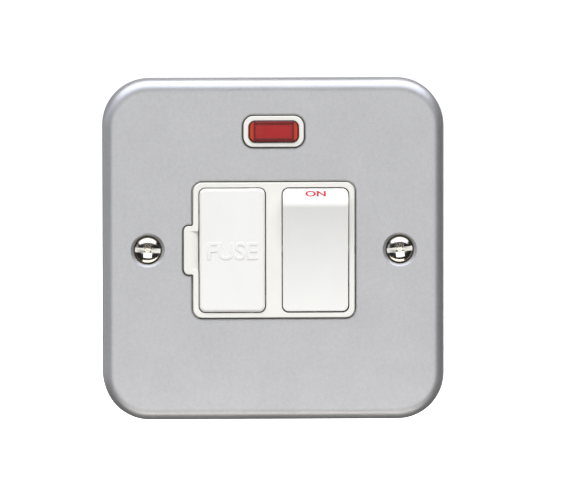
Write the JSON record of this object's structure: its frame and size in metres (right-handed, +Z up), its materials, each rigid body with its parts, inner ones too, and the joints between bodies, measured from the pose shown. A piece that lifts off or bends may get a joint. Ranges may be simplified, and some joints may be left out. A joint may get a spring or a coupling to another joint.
{
  "type": "fused spur unit",
  "caption": "Square pressed-steel cover with a hinged fuse carrier, a rocker switch and a red neon, which connects fixed mains equipment through a cartridge fuse.",
  "frame": {"origin": "midway between the two fixing screws, on the plane of the plate's rim", "axes": "+X to the right seen from the front, +Y into the wall along the fixing screws, +Z up"},
  "size_m": [0.0816, 0.0281, 0.0816],
  "materials": {
    "plate_paint": "satin silver-grey paint",
    "nickel_screw": "bright nickel plate",
    "zinc_steel": "zinc plated",
    "white_urea": "semi-gloss white moulding",
    "base_moulding": "white moulding",
    "fuse_ceramic": "glazed ceramic",
    "fuse_cap": "nickel plated brass",
    "brass": "natural",
    "silver": "silver contact",
    "plunger_nylon": "natural nylon",
    "spring_steel": "drawn wire",
    "red_lens": "clear red moulding",
    "lamp_glass": "clear glass",
    "tinned_wire": "tinned",
    "resistor_lacquer": "lacquer"
  },
  "bodies": {
    "unit": {"front_plate": "plate_paint", "fixing_screws": "nickel_screw", "plate_bushes": "zinc_steel", "front_housing": "white_urea", "rear_housing": "base_moulding", "module_screws": "zinc_steel", "switched_fuse_clip": "brass", "load_fuse_clip": "brass", "live_saddle": "brass", "neutral_saddle": "brass", "neutral_fixed_contact": "brass", "fixed_contacts": "silver", "feed_live_terminal": "brass", "feed_neutral_terminal": "brass", "load_live_terminal": "brass", "load_neutral_terminal": "brass", "terminal_screws": "zinc_steel", "earth_bracket": "zinc_steel", "earth_terminal": "brass", "earth_screws": "zinc_steel", "neon_lens": "red_lens", "neon_lamp": "lamp_glass", "neon_electrodes": "tinned_wire", "neon_leads": "tinned_wire", "neon_resistor": "resistor_lacquer"},
    "fuse_door": {"fuse_carrier": "white_urea", "fuse_body": "fuse_ceramic", "fuse_caps": "fuse_cap"},
    "rocker_key": {"rocker": "white_urea", "plungers": "plunger_nylon", "plunger_springs": "spring_steel"},
    "live_bar": {"live_contact_bar": "brass", "live_moving_contact": "silver"},
    "neutral_bar": {"neutral_contact_bar": "brass", "neutral_moving_contact": "silver"}
  },
  "joints": [
    {"name": "fuse_door_hinge", "type": "hinge", "parent": "unit", "child": "fuse_door", "pos_m": [-0.0053, -0.0076, 0], "axis": [0, 0, 1], "range_deg": [0, 70]},
    {"name": "rocker_rock", "type": "hinge", "parent": "unit", "child": "rocker_key", "pos_m": [0.00995, -0.0072, 0], "axis": [-1, 0, 0], "range_deg": [0, 12]},
    {"name": "live_bar_rock", "type": "hinge", "parent": "unit", "child": "live_bar", "pos_m": [0.00635, 0.0043, 0], "axis": [1, 0, 0], "range_deg": [0, 24]},
    {"name": "neutral_bar_rock", "type": "hinge", "parent": "unit", "child": "neutral_bar", "pos_m": [0.01355, 0.0043, 0], "axis": [1, 0, 0], "range_deg": [0, 24]}
  ],
  "couplings": [
    {"joint": "live_bar_rock", "follows": "rocker_rock", "ratio": 2},
    {"joint": "neutral_bar_rock", "follows": "rocker_rock", "ratio": 2}
  ]
}
